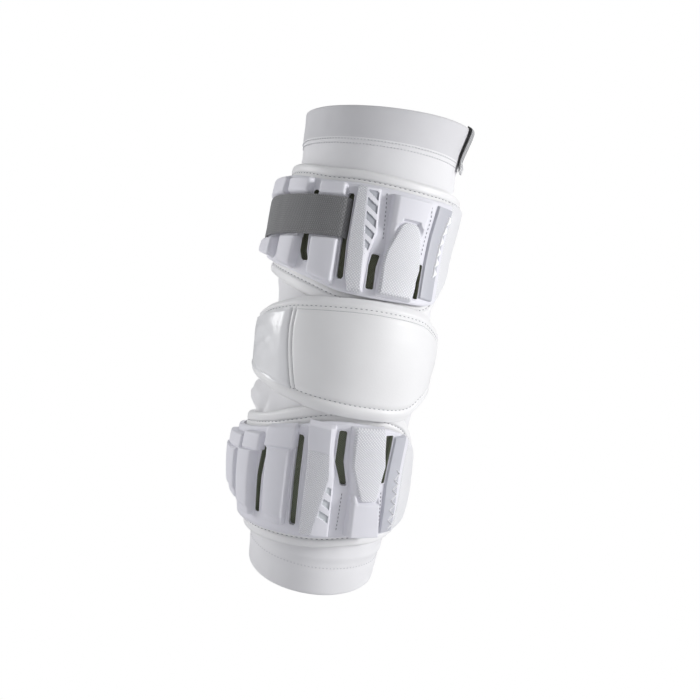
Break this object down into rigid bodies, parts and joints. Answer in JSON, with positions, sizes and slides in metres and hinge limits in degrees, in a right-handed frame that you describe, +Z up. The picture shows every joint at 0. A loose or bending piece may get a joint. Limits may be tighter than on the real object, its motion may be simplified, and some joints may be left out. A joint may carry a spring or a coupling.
{
  "type": "lacrosse arm pad",
  "caption": "Knitted arm sleeve with two moulded ribbed caps, a padded elbow wrap, a biceps strap and a pull tab.",
  "frame": {"origin": "on the arm's axis at the elbow, where the arm holds the pad", "axes": "+Z up the arm towards the shoulder, -Y the protected outside of the arm, +X to the right seen from that side"},
  "size_m": [0.1362, 0.1513, 0.3446],
  "materials": {
    "sleeve_knit": "matt white stretch knit",
    "white_border": "soft white synthetic leather",
    "grey_foam": "satin pale grey moulded foam",
    "textured_film": "pale grey with a fine dot texture",
    "side_film": "smooth satin pale grey",
    "clear_film": "glossy pale film",
    "dark_mesh": "dark olive spacer mesh",
    "grey_webbing": "mid-grey woven webbing",
    "black_webbing": "black woven webbing with a grey edge"
  },
  "bodies": {
    "root": {"sleeve": "sleeve_knit", "elbow_wrap": "white_border", "wrap_end_patch": "clear_film", "upper_cap_pad": "white_border", "upper_mesh": "dark_mesh", "upper_shell": "grey_foam", "upper_rib_1": "grey_foam", "upper_rib_2": "grey_foam", "upper_rib_3": "grey_foam", "upper_ridge_rib": "grey_foam", "upper_boss": "grey_foam", "upper_boss_plate": "textured_film", "upper_side_wing": "side_film", "upper_zigzag_trim": "side_film", "lower_cap_pad": "white_border", "lower_mesh": "dark_mesh", "lower_shell": "grey_foam", "lower_rib_1": "grey_foam", "lower_rib_2": "grey_foam", "lower_rib_3": "grey_foam", "lower_ridge_rib": "grey_foam", "lower_boss": "grey_foam", "lower_boss_plate": "textured_film", "lower_side_wing": "side_film", "lower_zigzag_trim": "side_film", "bicep_strap": "grey_webbing", "pull_tab": "black_webbing"}
  },
  "joints": []
}
